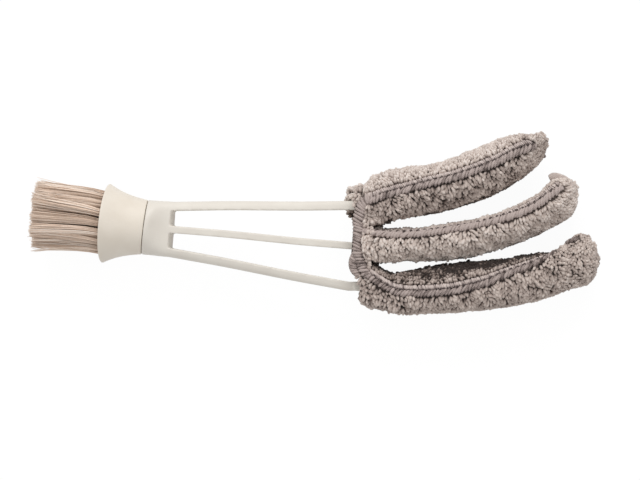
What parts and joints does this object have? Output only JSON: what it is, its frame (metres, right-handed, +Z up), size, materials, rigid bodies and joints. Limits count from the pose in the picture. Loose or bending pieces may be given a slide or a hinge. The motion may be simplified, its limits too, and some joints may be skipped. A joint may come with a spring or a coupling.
{
  "type": "blind duster",
  "caption": "Hand duster for slatted blinds: flexing plush-covered fingers on an open rod handle, with a round bristle brush in a flared collar at the other end.",
  "frame": {"origin": "middle of the bounding box's underside, on the surface the duster lies on", "axes": "+X from the brush to the fingertips, +Y across the fingers from the lower to the upper one, +Z up, out of the flat-lying tool"},
  "size_m": [0.3344, 0.1108, 0.046],
  "materials": {
    "hub_plastic": "satin moulded, pale warm grey",
    "collar_plastic": "satin moulded, cream",
    "prong_plastic": "matte moulded, pale warm grey",
    "bristle": "fine filaments, beige",
    "plush": "looped microfibre pile, grey-brown",
    "seam_tape": "stitched binding tape, mauve grey",
    "elastic": "woven elastic, pale"
  },
  "bodies": {
    "handle": {"handle_frame": "hub_plastic", "mouth_cuff": "plush", "mouth_band_front": "seam_tape", "mouth_band_back": "seam_tape", "mouth_elastic": "elastic"},
    "brush_head": {"brush_collar": "collar_plastic", "tuft_block": "collar_plastic", "bristles_centre": "bristle", "bristles_middle": "bristle", "bristles_outer": "bristle"},
    "upper_finger": {"upper_prong": "prong_plastic", "upper_top_panel": "plush", "upper_bottom_panel": "plush", "upper_tape_front": "seam_tape", "upper_tape_back": "seam_tape"},
    "middle_finger": {"middle_prong": "prong_plastic", "middle_top_panel": "plush", "middle_bottom_panel": "plush", "middle_tape_front": "seam_tape", "middle_tape_back": "seam_tape"},
    "lower_finger": {"lower_prong": "prong_plastic", "lower_top_panel": "plush", "lower_bottom_panel": "plush", "lower_tape_front": "seam_tape", "lower_tape_back": "seam_tape"}
  },
  "joints": [
    {"name": "brush_head_pull", "type": "slide", "parent": "handle", "child": "brush_head", "axis": [-1, 0, 0], "range_m": [0, 0.012]},
    {"name": "upper_finger_flex", "type": "hinge", "parent": "handle", "child": "upper_finger", "pos_m": [0.04057, 0.00827, 0.023], "axis": [0, 0, 1], "range_deg": [-3, 12], "stiffness_Nm_per_rad": 0.9},
    {"name": "middle_finger_flex", "type": "hinge", "parent": "handle", "child": "middle_finger", "pos_m": [0.04057, -0.0171, 0.023], "axis": [0, 0, 1], "range_deg": [-2, 3], "stiffness_Nm_per_rad": 0.9},
    {"name": "lower_finger_flex", "type": "hinge", "parent": "handle", "child": "lower_finger", "pos_m": [0.04057, -0.04247, 0.023], "axis": [0, 0, 1], "range_deg": [-12, 2], "stiffness_Nm_per_rad": 0.9}
  ]
}
